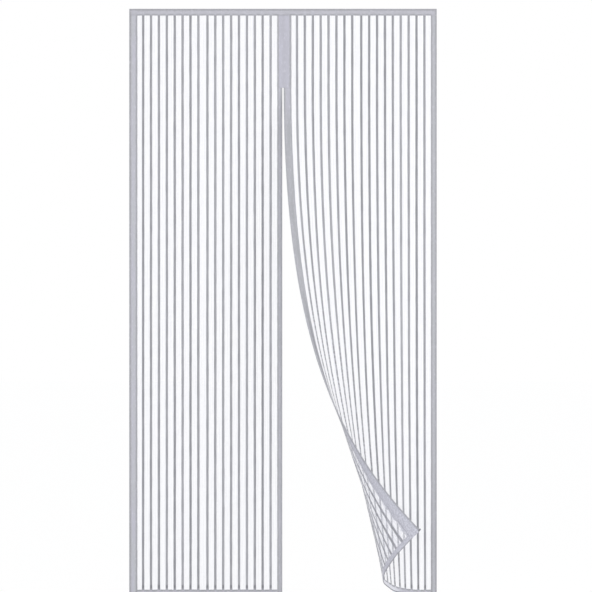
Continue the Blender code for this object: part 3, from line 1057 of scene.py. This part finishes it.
def make_sewing(finish):
    """Two rows of stitches on both faces of every folded strip."""
    across = seam_starts(-HALF_WIDTH, HALF_WIDTH)
    stitches("header_stitches", seam_rows(on_header, HEADER_WIDTH, STRIP_HALF, across), finish)
    down = seam_starts(HEADER_WIDTH, SCREEN_HEIGHT)
    for side in (LEFT, RIGHT):
        name, side_width, centre_width = PANELS[side]
        side_place, centre_place, hem_place = strip_places(side)
        across = seam_starts(side_width, PANEL_WIDTH - centre_width)
        stitches(f"{name}_side_stitches", seam_rows(side_place, side_width, STRIP_HALF, down), finish)
        stitches(f"{name}_centre_stitches", seam_rows(centre_place, centre_width, POCKET_HALF, down), finish)
        stitches(f"{name}_hem_stitches", seam_rows(hem_place, HEM_WIDTH, STRIP_HALF, across), finish)


def make_tacks(finish):
    """Dense dark knots of thread that lock the centre strips' lower corners."""
    around = np.linspace(0, 2 * math.pi, 14, endpoint=False)[None, :]
    rows = np.linspace(-1, 1, 17)[:, None]
    swell = np.sqrt(np.clip(1 - np.abs(rows) ** 3, 0.05, 1)) * (1 + 0.10 * np.cos(rows * 38))
    aside = TACK_HALF * swell * np.cos(around)
    proud = (POCKET_HALF + TACK_PROUD) * swell * np.sin(around)
    down = np.broadcast_to(SCREEN_HEIGHT - TACK_INSET + TACK_HALF * rows, aside.shape)
    cloth = np.stack([aside, down, proud], axis=-1)
    faces = tube_faces(*aside.shape)
    for side in (LEFT, RIGHT):
        points = on_panel(side, PANEL_WIDTH - TACK_INSET + aside, down, proud)
        mesh_piece(f"{PANELS[side][0]}_corner_tack", points, faces, finish, cloth)


# Stage, light and camera


def make_stage():
    """Pale floor below the hanging screen. The camera sees it white, with a faint shadow."""
    mesh = bpy.data.meshes.new("floor")
    level = box_low("left_side_strip")[Z] - FLOOR_DROP
    corners = [(x * FLOOR_REACH, y * FLOOR_REACH, level) for x, y in ((-1, -1), (1, -1), (1, 1), (-1, 1))]
    mesh.from_pydata(corners, [], [(0, 1, 2, 3)])
    floor = bpy.data.objects.new("floor", mesh)
    bpy.context.scene.collection.objects.link(floor)
    n = new_material("pale_floor")
    plain = n.shader("ShaderNodeBsdfDiffuse", Color=(0.86, 0.86, 0.86))
    glow = n.shader("ShaderNodeEmission", Strength=1.03)
    mesh.materials.append(n.shown(n.blend(n.times(n.seen_directly(), 0.9), plain, glow)))


def make_world():
    """Even light from all round. The camera sees plain white behind the screen."""
    n = Nodes(bpy.data.worlds.new("studio"), "ShaderNodeOutputWorld")
    ambient = n.shader("ShaderNodeBackground", Color=(0.97, 0.98, 1.0), Strength=0.82)
    white = n.shader("ShaderNodeBackground", Color=(1, 1, 1), Strength=1.0)
    bpy.context.scene.world = n.shown(n.blend(n.seen_directly(), ambient, white))


def area_light(name, place, aim, size, power):
    data = bpy.data.lights.new(name, "AREA")
    data.size = size
    data.energy = power
    light = bpy.data.objects.new(name, data)
    light.location = place
    light.rotation_euler = (Vector(aim) - Vector(place)).to_track_quat("-Z", "Y").to_euler()
    bpy.context.scene.collection.objects.link(light)


def make_camera():
    """Square on to the screen, so that a pixel of the picture is METRES_PER_PX on the net's plane."""
    data = bpy.data.cameras.new("camera")
    middle = PHOTO_SIZE_PX / 2
    x = (middle - PHOTO_MIDLINE_PX) * METRES_PER_PX
    z = TOP_Z - (middle - PHOTO_TOP_PX) * METRES_PER_PX
    data.sensor_width = SENSOR_MM
    data.lens = SENSOR_MM * CAMERA_DISTANCE / (PHOTO_SIZE_PX * METRES_PER_PX)
    data.clip_end = 100
    camera = bpy.data.objects.new("camera", data)
    camera.location = (x, NET_PLANE_Y - CAMERA_DISTANCE, z)
    camera.rotation_euler = (math.radians(90), 0, 0)
    bpy.context.scene.collection.objects.link(camera)
    bpy.context.scene.camera = camera


def main():
    make_camera()
    make_world()
    make_stage()
    aim = (0, 0, TOP_Z - SCREEN_HEIGHT / 2)
    area_light("key", place=(-0.35, -6.0, -0.9), aim=aim, size=2.4, power=74)
    area_light("fill", place=(3.0, -2.6, -0.4), aim=aim, size=2.4, power=22)

    thread_finish = thread_material()
    stripe_finish = stripe_material()
    net_finish = net_material()
    strips = make_edgings()
    strips["join"] = make_join()
    make_fasteners(loop_material())
    make_magnets(magnet_material())
    make_sewing(stitch_material("sewing_thread", (138, 138, 146), (158, 158, 166)))
    make_tacks(stitch_material("knot_thread", (116, 116, 122), (144, 144, 150)))
    for side in (LEFT, RIGHT):
        name = PANELS[side][0]
        panel = make_net(side, net_finish)
        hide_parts(f"{name}_net_panel")
        with_net = [make_threads(side, thread_finish), make_stripes(side, stripe_finish)]
        with_net += [strips[f"{name}_side"], strips[f"{name}_centre"], strips[f"{name}_hem"]]
        if side == LEFT:
            with_net += [strips["header"], strips["join"]]

    bpy.context.scene.view_settings.view_transform = "Standard"


main()
